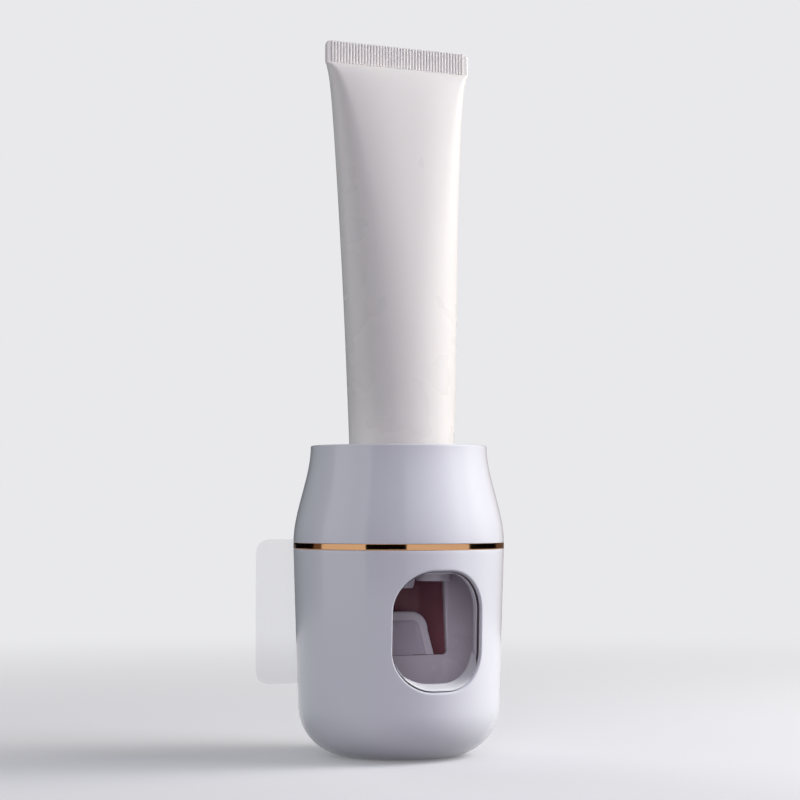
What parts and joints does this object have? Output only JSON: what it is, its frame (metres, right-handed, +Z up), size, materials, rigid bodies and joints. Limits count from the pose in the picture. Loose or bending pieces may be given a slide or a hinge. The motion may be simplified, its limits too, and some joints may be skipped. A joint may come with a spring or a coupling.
{
  "type": "toothpaste dispenser",
  "caption": "Wall-mounted toothpaste dispenser: a capsule housing with a brush window, a sprung paddle that works a bulb pump, a lift-off collar and an upturned tube.",
  "frame": {"origin": "middle of the adhesive pad's wall face", "axes": "+Y into the wall, +Z up, +X to the right for someone facing the dispenser"},
  "size_m": [0.08, 0.078, 0.257],
  "materials": {
    "clear_film": "clear acrylic film with a glue layer",
    "white_abs": "moulded white ABS",
    "white_gloss_abs": "polished white ABS",
    "rose_gold": "polished rose gold plating",
    "grey_abs": "moulded pale warm grey ABS, satin",
    "paddle_abs": "moulded warm grey ABS, satin",
    "maroon_abs": "moulded dark maroon ABS",
    "maroon_silicone": "moulded maroon silicone",
    "silicone": "moulded natural silicone",
    "steel": "plain stainless steel",
    "tube_laminate": "satin white plastic laminate, unprinted",
    "tube_hdpe": "moulded natural white HDPE"
  },
  "bodies": {
    "wall_mount": {"adhesive_pad": "clear_film", "hook_plate": "white_abs"},
    "housing": {"lower_shell": "white_gloss_abs", "trim_ring": "rose_gold", "window_frame": "white_gloss_abs", "brush_cup": "grey_abs", "carrier": "grey_abs", "back_screws": "steel", "pump_body": "maroon_abs", "pump_screws": "steel", "port_gasket": "silicone", "inlet_valve": "silicone", "pump_bulb": "maroon_silicone", "bulb_clamp": "maroon_abs", "nozzle": "grey_abs", "outlet_valve": "silicone", "tube_socket": "grey_abs", "socket_screws": "steel", "socket_seal": "silicone", "hinge_pin": "steel", "return_spring": "steel"},
    "collar": {"collar": "white_gloss_abs"},
    "tube": {"tube_sleeve": "tube_laminate", "tube_shoulder": "tube_hdpe"},
    "paddle": {"paddle": "paddle_abs"}
  },
  "joints": [
    {"name": "housing_lift", "type": "slide", "parent": "wall_mount", "child": "housing", "axis": [0, 0, 1], "range_m": [0, 0.005]},
    {"name": "collar_lift", "type": "slide", "parent": "housing", "child": "collar", "axis": [0, 0, 1], "range_m": [0, 0.06]},
    {"name": "tube_lift", "type": "slide", "parent": "housing", "child": "tube", "axis": [0, 0, 1], "range_m": [0, 0.06]},
    {"name": "paddle_press", "type": "hinge", "parent": "housing", "child": "paddle", "pos_m": [0, -0.01875, -0.0326], "axis": [-1, 0, 0], "range_deg": [0, 9], "stiffness_Nm_per_rad": 0.5, "springref_deg": -2.86, "deforming": ["pump_bulb", "return_spring"]}
  ]
}
